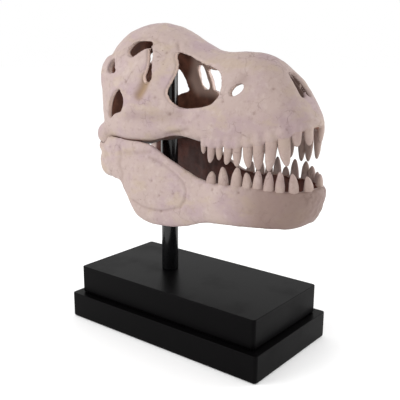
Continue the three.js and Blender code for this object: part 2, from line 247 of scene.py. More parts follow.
def joined(name: str, pieces: Sequence[Piece]) -> Piece:
    """Puts the surfaces of several helper objects into one object."""
    shape = bmesh.new()
    for piece in pieces:
        shape.from_mesh(piece.data)
        remove(piece)
    return as_object(shape, name)


def cut(piece: Piece, tool: Piece, operation: str = "DIFFERENCE") -> None:
    """Cuts a helper object out of a piece and removes the helper."""
    boolean = piece.modifiers.new("cut", "BOOLEAN")
    boolean.operation = operation
    boolean.solver = "EXACT"
    boolean.object = tool
    settle(piece)
    remove(tool)


def refine(piece: Piece, voxel: float, rounds: int) -> None:
    """Gives a piece an even, watertight skin of small faces and softens it.

    Args:
        piece: The piece, whose overlapping shells become one.
        voxel: Size of the faces.
        rounds: How many times the skin is smoothed.
    """
    remesh = piece.modifiers.new("even faces", "REMESH")
    remesh.mode = "VOXEL"
    remesh.voxel_size = voxel * MM
    soften = piece.modifiers.new("soften", "SMOOTH")
    soften.factor = 0.5
    soften.iterations = rounds
    settle(piece)


def loft(name: str, steps: int, sides: int, place: Callable) -> Piece:
    """Makes a closed body of rounded sections.

    Args:
        name: Name of the body.
        steps: Number of steps from end to end.
        sides: Number of sides of each section.
        place: Gives the points from the share of the way, the angle and the radius of 0 or 1.

    Returns:
        The body.
    """
    shape = bmesh.new()
    bmesh.ops.create_cone(shape, cap_ends=True, cap_tris=True, segments=sides, radius1=1, radius2=1, depth=1)
    uprights = [e for e in shape.edges if abs(e.verts[0].co.z - e.verts[1].co.z) > 0.5]
    bmesh.ops.subdivide_edges(shape, edges=uprights, cuts=steps - 1)
    piece = as_object(shape, name)
    plain = coordinates(piece.data) * MM
    reach = (np.hypot(plain[:, 0], plain[:, 1]) > 0.5).astype(float)
    moved = place(plain[:, 2] + 0.5, np.arctan2(plain[:, 1], plain[:, 0]), reach)
    move_to(piece.data, np.stack(moved, axis=1))
    return outward(piece)


def outward(piece: Piece) -> Piece:
    """Turns the faces of a closed helper body outwards."""
    shape = bmesh.new()
    shape.from_mesh(piece.data)
    bmesh.ops.recalc_face_normals(shape, faces=shape.faces)
    if shape.calc_volume(signed=True) < 0:
        bmesh.ops.reverse_faces(shape, faces=shape.faces)
    shape.to_mesh(piece.data)
    shape.free()
    return piece


def ball(
    name: str, at: Sequence[float], radii: Sequence[float], turn: Matrix | None = None,
) -> Piece:
    """Makes an oval body round a point."""
    shape = bmesh.new()
    bmesh.ops.create_uvsphere(shape, u_segments=32, v_segments=20, radius=1)
    bmesh.ops.scale(shape, vec=Vector(radii) * MM, verts=shape.verts)
    if turn:
        bmesh.ops.transform(shape, matrix=turn, verts=shape.verts)
    bmesh.ops.translate(shape, vec=Vector(at) * MM, verts=shape.verts)
    return as_object(shape, name)


def block(name: str, low: Sequence[float], high: Sequence[float]) -> Piece:
    """Makes a box between two corners."""
    shape = bmesh.new()
    bmesh.ops.create_cube(shape, size=1)
    size = Vector(high) - Vector(low)
    bmesh.ops.scale(shape, vec=size * MM, verts=shape.verts)
    bmesh.ops.translate(shape, vec=(Vector(low) + size / 2) * MM, verts=shape.verts)
    return as_object(shape, name)


def eased_point(a: Array, b: Array, c: Array, d: Array, t: float) -> Array:
    """Point of the smooth curve through four points, at a share of the way from the second to the third."""
    return b + 0.5 * t * (c - a + t * (2 * a - 5 * b + 4 * c - d + t * (3 * (b - c) + d - a)))


def rounded_outline(points: Sequence[Pair], steps: int = 4) -> list[Pair]:
    """Runs a smooth closed curve through the points of an outline.

    Args:
        points: The outline's points.
        steps: Straight steps between two points.

    Returns:
        The points of the curve.
    """
    curve = []
    count = len(points)
    for i in range(count):
        a, b, c, d = (np.array(points[(i + k) % count], float) for k in (-1, 0, 1, 2))
        curve += [tuple(eased_point(a, b, c, d, t)) for t in np.arange(steps) / steps]
    return curve


def through_cut(name: str, outline: Sequence[Pair], side: Side) -> Piece:
    """Makes a prism that runs through one side wall, from its outline in X and Z."""
    shape = bmesh.new()
    corners = [shape.verts.new((x * MM, 0, z * MM)) for x, z in outline]
    face = shape.faces.new(corners)
    grown = bmesh.ops.extrude_face_region(shape, geom=[face])
    far_corners = [item for item in grown["geom"] if isinstance(item, bmesh.types.BMVert)]
    bmesh.ops.translate(shape, vec=(0, side.value * FAR * MM, 0), verts=far_corners)
    return as_object(shape, name)


def folded(where: Array) -> Array:
    """Reflects points of the left side to the right side."""
    other = where.copy()
    other[:, 1] = -np.abs(other[:, 1])
    return other


def unevenness(where: Array, size: float, seed: float) -> Array:
    """Soft random heights between about -1 and 1.

    Args:
        where: Points on the surface.
        size: Distance between bumps.
        seed: Picks another pattern.

    Returns:
        One height for each point.
    """
    shift = Vector((seed, 2 * seed, 3 * seed))
    return np.array([noise.noise(Vector(p) / size + shift) for p in where.tolist()])


@dataclass(frozen=True)
class Marks:
    """Ridges, grooves and pits of a skin, alike on both sides, and the brown that gathers in them.

    Attributes:
        strokes: Ridges and grooves.
        pits: Middles of the pits.
        pit_width: Width of a pit.
        soak: Depth at which a groove would be fully brown.
        limit: Most brown that a groove takes.
    """

    strokes: tuple[Stroke, ...]
    pits: tuple[Triple, ...]
    pit_width: float
    soak: float
    limit: float

    def work(self, where: Array, tone: Array) -> tuple[Array, Array]:
        """Works out the skin's heights and its brown.

        Args:
            where: Points on the surface.
            tone: Painted shade laid over the skin, which the callers make darker towards the front.

        Returns:
            How far each point moves outwards, and its brown, with the painted shade of tone added.
        """
        near = folded(where)
        rise = sum(stroke.heights(near) for stroke in self.strokes)
        # Brown wash in the grooves, plus the painted shade given as tone
        wash = np.clip(-rise / self.soak, 0, self.limit) + tone
        for pit in self.pits:
            dent = Stroke((pit,), self.pit_width, 1.0).heights(near)
            rise -= PIT_DEPTH * dent
            wash += PIT_STAIN * dent
        return rise, wash


class Graph:
    """One node material, built step by step from its shader."""

    def __init__(self, name: str) -> None:
        """Starts a material with its shader and object coordinates."""
        self.material = bpy.data.materials.new(name)
        self.material.use_nodes = True
        self.tree = self.material.node_tree
        self.tree.nodes.clear()
        self.shader = self.add("ShaderNodeBsdfPrincipled")
        output = self.add("ShaderNodeOutputMaterial")
        self.tree.links.new(self.shader.outputs["BSDF"], output.inputs["Surface"])
        self.place = self.add("ShaderNodeTexCoord").outputs["Object"]

    def add(self, kind: str, **settings: object) -> bpy.types.Node:
        """Adds a node and sets its properties."""
        node = self.tree.nodes.new(kind)
        for key, value in settings.items():
            setattr(node, key, value)
        return node

    def feed(self, socket: Socket, value: object) -> None:
        """Links a socket to another one, or sets it to a value."""
        if isinstance(value, Socket):
            self.tree.links.new(value, socket)
        else:
            socket.default_value = value

    def math(self, operation: str, *values: object) -> Socket:
        """Does one sum on numbers or sockets."""
        node = self.add("ShaderNodeMath", operation=operation)
        for socket, value in zip(node.inputs, values):
            self.feed(socket, value)
        return node.outputs[0]

    def between(self, value: object, low: float, high: float) -> Socket:
        """Eases a socket from 0 at one value to 1 at another."""
        node = self.add("ShaderNodeMapRange", interpolation_type="SMOOTHSTEP")
        self.feed(node.inputs["Value"], value)
        node.inputs["From Min"].default_value = low
        node.inputs["From Max"].default_value = high
        return node.outputs["Result"]

    def mix(self, share: object, a: object, b: object) -> Socket:
        """Mixes two colours by a share."""
        node = self.add("ShaderNodeMix", data_type="RGBA", blend_type="MIX")
        self.feed(node.inputs[0], share)
        self.feed(node.inputs[6], (*a, 1) if isinstance(a, tuple) else a)
        self.feed(node.inputs[7], (*b, 1) if isinstance(b, tuple) else b)
        return node.outputs[2]

    def stretched(self, scale: Triple) -> Socket:
        """Object coordinates with each direction scaled."""
        node = self.add("ShaderNodeMapping")
        self.feed(node.inputs["Vector"], self.place)
        node.inputs["Scale"].default_value = scale
        return node.outputs["Vector"]

    def cloud(self, size: float, detail: float = 4.0, where: object = None, rough: float = 0.55) -> Socket:
        """Cloudy noise between 0 and 1, its lumps the given number of millimetres apart."""
        node = self.add("ShaderNodeTexNoise")
        self.feed(node.inputs["Vector"], where or self.place)
        node.inputs["Scale"].default_value = 1 / (size * MM)
        node.inputs["Detail"].default_value = detail
        node.inputs["Roughness"].default_value = rough
        return node.outputs["Fac"]

    def cells(self, size: float, feature: str, where: object = None) -> Socket:
        """Distance pattern of cells the given number of millimetres apart."""
        node = self.add("ShaderNodeTexVoronoi", feature=feature)
        self.feed(node.inputs["Vector"], where or self.place)
        node.inputs["Scale"].default_value = 1 / (size * MM)
        return node.outputs["Distance"]

    def bent(self, size: float, amount: float) -> Socket:
        """Object coordinates pushed about by noise, so that lines on them wander."""
        swirl = self.add("ShaderNodeTexNoise")
        self.feed(swirl.inputs["Vector"], self.place)
        swirl.inputs["Scale"].default_value = 1 / (size * MM)
        push = self.add("ShaderNodeVectorMath", operation="SCALE")
        self.feed(push.inputs[0], swirl.outputs["Color"])
        push.inputs["Scale"].default_value = amount * MM
        total = self.add("ShaderNodeVectorMath", operation="ADD")
        self.feed(total.inputs[0], self.place)
        self.feed(total.inputs[1], push.outputs[0])
        return total.outputs[0]

    def painted(self, name: str) -> Socket:
        """Numbers stored on the mesh under a name."""
        return self.add("ShaderNodeAttribute", attribute_name=name).outputs["Fac"]

    def relief(self, height: Socket, depth: float) -> None:
        """Gives the surface bumps, with the height in units of the given number of millimetres."""
        bump = self.add("ShaderNodeBump")
        bump.inputs["Distance"].default_value = depth * MM
        self.feed(bump.inputs["Height"], height)
        self.feed(self.shader.inputs["Normal"], bump.outputs["Normal"])


@dataclass(frozen=True)
class BoneFinish:
    """Resin painted as pale fossil bone, washed with dark brown in its hollows, with painted shade and
    painted light laid on where light and shade fall.

    Attributes:
        name: Name of the material.
        pale: Main colour.
        rosy: Pinkish grey patches.
        sandy: Yellowish patches.
        wash: Brown that gathers in pits, cracks and grooves, also the colour of the painted shade towards the
            front and on the teeth's inner sides.
        hollow: Dark brown of the inside, partly brown stain and partly painted shade, also laid as painted
            shade under the palate, the cheeks and the jaw's upper edge.
        ochre: Yellow brown of the groove behind the eye.
        lit: Light tan laid on as painted light on the inner wall round the slit behind the large opening and
            on the openings' forward-facing edges.
        chalk: Chalky film that lies on the paint in patches.
        pits: How far the small pits show, from 0 to 1.
    """

    name: str = "painted_bone"
    pale: Triple = (0.425, 0.328, 0.300)
    rosy: Triple = (0.385, 0.285, 0.295)
    sandy: Triple = (0.430, 0.335, 0.268)
    wash: Triple = (0.150, 0.090, 0.070)
    hollow: Triple = (0.215, 0.100, 0.068)
    ochre: Triple = (0.33, 0.21, 0.09)
    lit: Triple = (0.95, 0.74, 0.64)
    chalk: Triple = (0.60, 0.51, 0.47)
    pits: float = 1.0

    def material(self) -> bpy.types.Material:
        """Builds the node material."""
        graph = Graph(self.name)
        rosy = graph.between(graph.cloud(42, 3), 0.42, 0.66)
        sandy = graph.between(graph.cloud(30, 4, graph.stretched((1, 1, 1.6))), 0.50, 0.68)
        colour = graph.mix(rosy, self.pale, self.rosy)
        colour = graph.mix(graph.math("MULTIPLY", sandy, 0.75), colour, self.sandy)
        mottle = graph.cloud(5, 6, rough=0.65)
        dirt = graph.between(mottle, 0.50, 0.72)
        colour = graph.mix(graph.math("MULTIPLY", dirt, 0.22), colour, self.wash)
        chalk = graph.between(graph.cloud(9, 5), 0.52, 0.70)
        colour = graph.mix(graph.math("MULTIPLY", chalk, 0.18), colour, self.chalk)

        crack_lines = graph.cells(19, "DISTANCE_TO_EDGE", graph.bent(9, 9))
        crack = graph.math("SUBTRACT", 1.0, graph.between(crack_lines, 0.004, 0.022))
        crack = graph.math("MULTIPLY", crack, graph.between(graph.cloud(26, 2), 0.52, 0.64))
        pit_dots = graph.math("SUBTRACT", 1.0, graph.between(graph.cells(5.5, "F1"), 0.07, 0.16))
        pit = graph.math("MULTIPLY", pit_dots, graph.between(graph.cloud(17, 3), 0.55, 0.66))
        pit = graph.math("MULTIPLY", pit, self.pits)
        marks = graph.math("MAXIMUM", graph.math("MULTIPLY", crack, 0.55), pit)
        # Brown wash of the marks together with painted shade towards the front and on the teeth's inner sides
        wash_and_shade_amount = graph.painted("wash")
        colour = graph.mix(graph.math("MULTIPLY", graph.painted("ochre"), 0.8), colour, self.ochre)
        colour = graph.mix(graph.math("MULTIPLY", marks, 0.6), colour, self.wash)
        colour = graph.mix(graph.math("MULTIPLY", wash_and_shade_amount, 0.75), colour, self.wash)

        # Dark brown inside, partly brown stain and partly painted shade
        inside = graph.painted("inside")
        streaks = graph.cloud(14, 4)
        wander = graph.math("MULTIPLY", graph.math("SUBTRACT", streaks, 0.5), 0.5)
        covered = graph.between(graph.math("ADD", inside, wander), 0.25, 0.75)
        lighter = tuple(2.1 * c for c in self.hollow)
        brown = graph.mix(graph.between(streaks, 0.35, 0.75), self.hollow, lighter)
        colour = graph.mix(covered, colour, brown)
        # Painted light on the inner wall and on the forward-facing edges of the openings
        colour = graph.mix(graph.painted("lit"), colour, self.lit)
        # Painted shade, darker still, low down inside and in the nose slits
        colour = graph.mix(graph.painted("deep"), colour, tuple(0.3 * c for c in self.hollow))
        graph.feed(graph.shader.inputs["Base Color"], colour)

        graph.feed(graph.shader.inputs["Roughness"], graph.math("MULTIPLY_ADD", mottle, 0.22, 0.45))
        graph.shader.inputs["Specular IOR Level"].default_value = 0.35
        grain = graph.math("MULTIPLY", graph.cloud(1.1, 3), 0.10)
        lumps = graph.math("MULTIPLY", mottle, 0.30)
        height = graph.math("SUBTRACT", graph.math("ADD", grain, lumps), graph.math("MULTIPLY", marks, 0.45))
        graph.relief(height, 1.0)
        return graph.material


@dataclass(frozen=True)
class StandFinish:
    """Black paint of the stand.

    Attributes:
        name: Name of the material.
        colour: Colour of the paint.
        roughness: Lowest roughness.
        wander: How much rougher dusty places are.
        level: Strength of the reflection at right angles.
        grain: Height of the brush marks.
    """

    name: str
    colour: Triple
    roughness: float
    wander: float
    level: float
    grain: float

    def material(self) -> bpy.types.Material:
        """Builds the node material."""
        graph = Graph(self.name)
        dust = graph.between(graph.cloud(60, 5), 0.45, 0.75)
        speck = graph.between(graph.cloud(1.6, 2), 0.66, 0.80)
        dusty = tuple(1.8 * c for c in self.colour)
        colour = graph.mix(graph.math("MULTIPLY", dust, 0.35), self.colour, dusty)
        colour = graph.mix(graph.math("MULTIPLY", speck, 0.12), colour, (0.02, 0.019, 0.02))
        graph.feed(graph.shader.inputs["Base Color"], colour)
        rough = graph.add("ShaderNodeMapRange")
        graph.feed(rough.inputs["Value"], dust)
        rough.inputs["To Min"].default_value = self.roughness
        rough.inputs["To Max"].default_value = self.roughness + self.wander
        graph.feed(graph.shader.inputs["Roughness"], rough.outputs["Result"])
        graph.shader.inputs["Specular IOR Level"].default_value = self.level
        graph.relief(graph.cloud(0.9, 3, graph.stretched((0.15, 1, 1))), self.grain)
        return graph.material


def dress(piece: Piece, material: bpy.types.Material, nodes: Sequence[str]) -> None:
    """Gives a finished piece its material, slot and body, and hides the model parts it replaces."""
    piece.data.materials.clear()
    piece.data.materials.append(material)
    piece.data.shade_smooth()
    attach(piece, BODY)
    if nodes:
        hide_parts(*nodes)
    log.info("%s: %d corners", piece.name, len(piece.data.vertices))


SKULL = Stations((
    (-117, 342.5, 305, 262, 39), (-113, 354.5, 302, 252, 47), (-105, 367, 296, 244, 55),
    (-94, 378.5, 290, 241, 60), (-78, 386, 285, 240.5, 63.5), (-55, 390, 282, 240.5, 65),
    (-35, 388, 281, 244, 63), (-20, 383.5, 280, 249.5, 59.5), (-2, 375, 279, 256, 54.5),
    (15, 367, 279, 256.5, 50), (34, 359.5, 280, 252.5, 47), (52, 357.5, 282, 253.5, 45.5),
    (75, 358.5, 284, 255.5, 44), (97, 357.5, 286, 258, 43), (114, 351.5, 287.5, 261, 42),
    (128, 342.5, 288.5, 265.5, 40.5), (140, 332, 289, 270, 37.5), (150, 320, 289, 274.5, 32.5),
    (159, 306.5, 288, 278.5, 25.5), (166, 297, 287, 280.5, 18), (170.5, 292, 286.5, 282.5, 9),
    (172, 289, 286.5, 284.5, 3),
))
SKULL_BACK_X = -117
SKULL_FRONT_X = 172
SKULL_ROUNDNESS = 2.15
MARGIN_SQUARENESS = 3.6
# Way out of the nose openings
NOSE_WAY = Vector((0.62, -0.70, 0.35)).normalized()

JAW = Stations((
    (0, 229, 211.5, 3.5), (0.018, 240, 204.5, 7.5), (0.05, 250, 199, 9), (0.1, 252, 198, 9),
    (0.14, 252, 195, 8.5), (0.165, 252, 182, 8), (0.19, 252, 169.5, 8), (0.218, 251, 157.5, 8),
    (0.253, 250, 151.5, 8), (0.285, 248, 149, 7.5), (0.31, 244.5, 148, 7.5), (0.34, 239, 148, 7),
    (0.4, 228.5, 149.5, 7), (0.46, 220, 153.5, 7), (0.505, 214, 158.5, 7), (0.55, 211, 161.5, 7),
    (0.61, 210.5, 163, 7), (0.68, 212, 164.5, 7), (0.76, 213, 167, 7.5), (0.83, 212.5, 169, 8),
    (0.92, 212.5, 168.5, 8.5), (1, 214.5, 170.5, 8.5),
))
JAW_LENGTH = 310
# How far the gum lines lie inside the bone's edges
GUM_RISE = 1.5

ORBIT_UPPER = (
    (-68, 357), (-65.5, 352.5), (-57, 349.8), (-49.5, 354.7), (-42, 359.8), (-37, 360.8), (-33, 361.8),
    (-35, 366.8), (-43, 368.3), (-57, 367.5), (-65.5, 363),
)
TEMPORAL_UPPER = ((-90, 347), (-84, 337), (-80, 331.5), (-94, 330), (-96, 338))
LEFT_ORBIT_UPPER = (
    (-67, 360), (-62, 358), (-55, 357.5), (-49.5, 358.5), (-42, 360.5), (-36, 361.3), (-29, 362.5),
    (-31, 367.5), (-43, 368.3), (-57, 367.5), (-65.5, 364.5),
)
MAXILLARY = {"x": 86.8, "z": 318, "long": 9.6, "short": 4.8, "tilt": 0.59}
# Front of the large opening, alike on both sides
LARGE_RIM = (
    (33.3, 344.5), (46, 341.3), (57, 337.3), (64.5, 329.5), (66.3, 319), (63, 308.5), (53, 300),
    (38, 296),
)
# Openings of each side, as points in x and z
WINDOWS = {
    Side.RIGHT: (
        ORBIT_UPPER,
        TEMPORAL_UPPER,
        (
            (-37.5, 359.3), (-36, 354.7), (-33.5, 347), (-32.3, 339), (-34, 331.5), (-33.8, 325.5),
            (-30.5, 322), (-26, 325), (-25, 332), (-26.5, 342), (-28.8, 353), (-32.5, 361),
        ),
        (
            (-3.5, 355.5), (8, 354.8), (21.5, 349.2), *LARGE_RIM, (22, 294), (10.5, 295.5), (0, 302),
            (-5, 311), (-1, 322.5), (3, 334), (2.5, 342),
        ),
        (
            (-70, 312), (-63, 303.5), (-62, 295), (-65, 286), (-76, 282), (-88, 275), (-90, 280),
            (-88, 291), (-84.5, 300), (-78, 308),
        ),
    ),
    Side.LEFT: (
        LEFT_ORBIT_UPPER,
        TEMPORAL_UPPER,
        (
            (-33, 337), (-26, 337.5), (-22.3, 333.3), (-19.5, 322), (-16.4, 311.9), (-20, 307),
            (-28, 307.5), (-33.2, 318), (-36, 331),
        ),
        (
            (-15.6, 331), (-10, 333.5), (2, 333), (12, 339), (22, 345), *LARGE_RIM, (22, 295),
            (9, 299.5), (-3, 306), (-9, 307.5), (-10.9, 318.3),
        ),
        (
            (-69.4, 330.8), (-63, 320.5), (-59, 309.5), (-57.8, 302.5), (-71, 298.2), (-81, 294.5),
            (-85, 303), (-82, 317), (-76, 328),
        ),
    ),
}


def skull_section(x: Array, angle: Array, radius: Array, inset: float) -> tuple[Array, ...]:
    """Places points on the skull's rounded sections.

    Args:
        x: Place along the skull.
        angle: Direction from the middle of the section.
        radius: 1 on the skin and 0 in the middle.
        inset: Distance by which the section is drawn in, for the hollow.

    Returns:
        The x, y and z of the points.
    """
    roof, wide, margin, half = SKULL.at(x)
    across, upward = np.cos(angle), np.sin(angle)
    exponent = np.where(upward > 0, 2 / SKULL_ROUNDNESS, 2 / MARGIN_SQUARENESS)
    reach = np.where(upward > 0, roof - wide, wide - margin) - inset
    y = (half - inset) * signed_power(across, exponent) * radius
    return x, y, wide + reach * signed_power(upward, exponent) * radius


def depth_in_skull(where: Array) -> Array:
    """How far each point lies below the skull's smooth outside."""
    roof, wide, margin, half = SKULL.at(where[:, 0])
    above = where[:, 2] > wide
    reach = np.where(above, roof - wide, wide - margin)
    exponent = np.where(above, SKULL_ROUNDNESS, MARGIN_SQUARENESS)
    across = np.abs(where[:, 1] / half) + 1e-4
    upward = np.abs((where[:, 2] - wide) / reach) + 1e-4
    share = (across**exponent + upward**exponent) ** (1 / exponent)
    slope = np.hypot(across ** (exponent - 1) / half, upward ** (exponent - 1) / reach)
    steepness = share ** (1 - exponent) * slope
    ends = np.minimum(where[:, 0] - SKULL_BACK_X, SKULL_FRONT_X - where[:, 0])
    return np.minimum((1 - share) / steepness, ends)


def on_skull(*points: Pair) -> tuple[Triple, ...]:
    """Finds the points of the skull's right side at the given x and z.

    Args:
        points: The x and z of each point.

    Returns:
        The points on the smooth outside.
    """
    found = []
    for x, z in points:
        roof, wide, margin, half = SKULL.sizes(x)
        exponent = SKULL_ROUNDNESS if z > wide else MARGIN_SQUARENESS
        level = min(abs((z - wide) / (roof - wide if z > wide else wide - margin)), 1)
        found.append((x, -half * (1 - level**exponent) ** (1 / exponent), z))
    return tuple(found)


def quadrate_knob(side: Side) -> Piece:
    """The skull's knob above a jaw joint."""
    return ball("quadrate_knob", (-106, 47 * side.value, 253), (14.5, 12, 15))


# The ochre groove behind the eye
TINTED = Stroke(on_skull((-29, 327), (-32, 316), (-37.5, 306.5)), 7.5, -3.4)
SKULL_MARKS = Marks(
    strokes=(
        Stroke(
            on_skull((-72, 353), (-71.5, 361), (-66, 368), (-55, 373), (-40, 373.5), (-28, 369)), 4.0, -1.0,
        ),
        Stroke(on_skull((-5, 366), (0, 359)), 2.6, -1.5),
        Stroke(on_skull((4, 359), (20, 353), (34, 348), (54, 344)), 4.0, 1.0),
        Stroke(on_skull((-52, 280), (-35, 281), (-19, 282), (-1, 283), (16, 287)), 10.0, -1.6),
        Stroke(on_skull((30, 280), (37, 288), (47, 295)), 4.0, 1.0),
        Stroke(on_skull((-2, 262), (14, 266), (26, 270)), 5.0, -1.5),
        Stroke(on_skull((88, 325), (95, 331)), 9.0, -1.6),
        Stroke(on_skull((72, 268), (100, 270), (125, 276), (150, 284)), 7.0, 0.8),
        TINTED,
    ),
    pits=on_skull(
        (113.4, 295.6), (72, 305.2), (130.9, 322.1), (3.2, 287.1), (-15.5, 305.1), (-58.2, 321.1),
        (-12.3, 356.1), (138.7, 276.5),
    ),
    pit_width=2.2,
    soak=5,
    limit=0.35,
)


@dataclass
class Skull:
    """The skull without its teeth: hollow, with openings in its sides and back.

    Attributes:
        wall: Thickness of the shell.
        hollow_back: Where the hollow begins.
        hollow_front: Where the hollow ends.
        ceiling: Height of the flat part of the hollow's roof, on which the rod ends.
        palate_top: Height of the palate's upper face.
        palate_back: Where the palate begins, in front of the rod.
        throat: Half width of the open way behind the palate.
        voxel: Size of the finished faces.
        nose_edge: Rear edge of the nose opening, on the right side.
    """

    wall: float = 7.5
    hollow_back: float = -94
    hollow_front: float = 99
    ceiling: float = 374
    palate_top: float = 267
    palate_back: float = -20
    throat: float = 40
    voxel: float = 1.7
    nose_edge: tuple[Triple, ...] = (
        (131.6, -6, 339.2), (135.8, -8.2, 335.3), (142.8, -10.3, 327.7), (149.9, -11.1, 318.6),
        (154, -10.6, 312.6),
    )

    def build(self, sockets: list[Piece]) -> Piece:
        """Makes the skull.

        Args:
            sockets: Rounded swellings round the roots of the upper teeth, which join the skull.

        Returns:
            The finished mesh as an object.
        """
        outside = loft("outside", 170, 112, self.skin)
        skull = joined("skull", [outside, *self.knobs(), *sockets])
        refine(skull, self.voxel, 2)
        for tool in self.cutters():
            cut(skull, tool)
        refine(skull, self.voxel, 2)
        self.sculpt(skull.data)
        return skull

    def skin(self, t: Array, angle: Array, radius: Array) -> tuple[Array, ...]:
        """Points of the outside, with the sections closer together at the two ends."""
        eased = t - np.sin(2 * np.pi * t) * 0.12
        return skull_section(SKULL_BACK_X + (SKULL_FRONT_X - SKULL_BACK_X) * eased, angle, radius, 0)

    def knobs(self) -> list[Piece]:
        """The rounded knobs at the back of the skull."""
        made = [ball("neck_knob", (-117, 0, 287), (11, 12, 11))]
        for side in Side:
            made.append(quadrate_knob(side))
            made.append(ball("squamosal_knob", (-98, 42.5 * side.value, 321), (17.5, 14, 31)))
        return made

    def cutters(self) -> list[Piece]:
        """Everything that is cut away from the solid skull."""
        tools = []
        for side, outlines in WINDOWS.items():
            tools += [through_cut("window", rounded_outline(points), side) for points in outlines]
            tools.append(through_cut("slit", self.slit(), side))
        hollow = loft("hollow", 60, 72, self.lining)
        cut(hollow, block("levels", (-FAR, -FAR, self.palate_top), (FAR, FAR, self.ceiling)), "INTERSECT")
        tools.append(hollow)
        top = self.palate_top + 1
        low, high = (self.hollow_back, -self.throat, 0), (self.palate_back, self.throat, top)
        tools.append(block("throat", low, high))
        tools.append(ball("neck_hole", (-120, 0, 306), (9, 8, 8)))
        tools.append(ball("palate_vault", (75, 0, 252), (88, 28, 11)))
        for side in Side:
            tools.append(ball("back_window", (-120, 32 * side.value, 345), (45, 12, 9)))
            tools.append(self.nostril(side))
        return tools

    def lining(self, t: Array, angle: Array, radius: Array) -> tuple[Array, ...]:
        """Points of the hollow's surface."""
        x = self.hollow_back + (self.hollow_front - self.hollow_back) * t
        return skull_section(x, angle, radius, self.wall)

    def slit(self) -> list[Pair]:
        """Outline of the small slanting slit in front of the large opening."""
        x, z, long, short, tilt = MAXILLARY.values()
        angles = np.linspace(0, 2 * np.pi, 24, endpoint=False)
        u, v = long * np.cos(angles), short * np.sin(angles)
        across, upward = math.cos(tilt), math.sin(tilt)
        return list(zip(x + u * across - v * upward, z + u * upward + v * across))

    def nostril(self, side: Side) -> Piece:
        """Wedge that leaves a recess, deep along its rear edge and shallow towards the midline."""
        shape = bmesh.new()
        for x, y, z in self.nose_edge:
            edge = Vector((x, y, z))
            inner = Vector((x, -1, self.skin_height(x, -1)))
            for start, reach in ((edge, 9), (edge, -6.5), (inner, -1.6), (inner, 9)):
                point = start + reach * NOSE_WAY
                shape.verts.new((point.x * MM, -side.value * point.y * MM, point.z * MM))
        hull = bmesh.ops.convex_hull(shape, input=shape.verts)
        inner_corners = [v for v in hull["geom_interior"] if isinstance(v, bmesh.types.BMVert)]
        bmesh.ops.delete(shape, geom=inner_corners, context="VERTS")
        return as_object(shape, "nostril")

    def skin_height(self, x: float, y: float) -> float:
        """Height of the skull's upper surface above a point."""
        roof, wide, _, half = SKULL.sizes(x)
        return wide + (roof - wide) * (1 - abs(y / half) ** SKULL_ROUNDNESS) ** (1 / SKULL_ROUNDNESS)

    def sculpt(self, mesh: Mesh) -> None:
        """Works ridges, grooves, pits and unevenness into the skin and stores where it is brown, where
        painted shade goes and where painted light goes.
        """
        where = coordinates(mesh)
        facing = normals(mesh)
        depth = depth_in_skull(where)
        skin = 1 - smooth_step(depth, 2.5, 5.0)
        # Painted shade, darker towards the front of the snout, added to the brown wash of the marks
        rise, wash = SKULL_MARKS.work(where, 0.26 * smooth_step(where[:, 0], 10, 120))
        rise += 0.55 * unevenness(where, 17, 3.1) + 0.3 * unevenness(where, 7, 5.7)
        move_to(mesh, where + facing * (rise * (0.25 + 0.75 * skin))[:, None])

        x, y, z = where.T
        # Dark brown deeper inside the shell, partly brown stain and partly painted shade
        inside = smooth_step(depth, 4.8, 7.2) * (1 - smooth_step(x, 106, 116))
        # Painted light on the inner wall in front of the rod, where it catches the light
        slant = 0.5 * np.abs(z - 318)
        painted_light_wall = smooth_step(x, -62 + slant, -46 + slant)
        painted_light_wall *= smooth_step(z, 292, 308) * smooth_step(np.abs(y), 26, 34)
        # Painted light also on the edges of the openings that face forwards
        painted_light_rims = smooth_step(facing[:, 0], 0.25, 0.7) * smooth_step(depth, 0.8, 2.5)
        painted_light_rims *= (1 - smooth_step(depth, 5, 7)) * (1 - smooth_step(x, 90, 100))
        paint(mesh, "lit", np.maximum(inside * painted_light_wall, 0.7 * painted_light_rims * smooth_step(z, 262, 270)))
        # Painted shadow at the bottoms of the nose openings, where the near wall shades the slit
        painted_shadow_nose_slit = smooth_step(depth, 3.4, 4.8) * smooth_step(x, 124, 130) * smooth_step(z, 296, 304)
        # Painted shade on the roof of the mouth, then on the underside of the cheeks
        _, _, margin, half = SKULL.at(x)
        painted_shade_mouth_roof = smooth_step(-facing[:, 2], 0.4, 0.8) * smooth_step(half - np.abs(y), 9, 13)
        painted_shade_mouth_roof *= smooth_step(x, self.palate_back - 80, self.palate_back)
        painted_shade_mouth_roof *= smooth_step(margin + 12 - z, 0, 6)
        painted_shade_margin_side = smooth_step(half - np.abs(y), 2.5, 5) * (1 - smooth_step(z, 248, 256))
        painted_shade_margin_side *= smooth_step(x, -96, -88) * (1 - smooth_step(x, -30, -15))
        inside = np.maximum(inside, np.maximum(painted_shade_mouth_roof, painted_shade_margin_side))
        paint(mesh, "inside", inside)
        # Painted shade, darker still, low down inside the shell and in the nose slits
        paint(mesh, "deep", inside * (1 - smooth_step(z, 260, 272)) + painted_shadow_nose_slit)
        paint(mesh, "wash", wash)
        paint(mesh, "ochre", TINTED.heights(folded(where)) / TINTED.height)


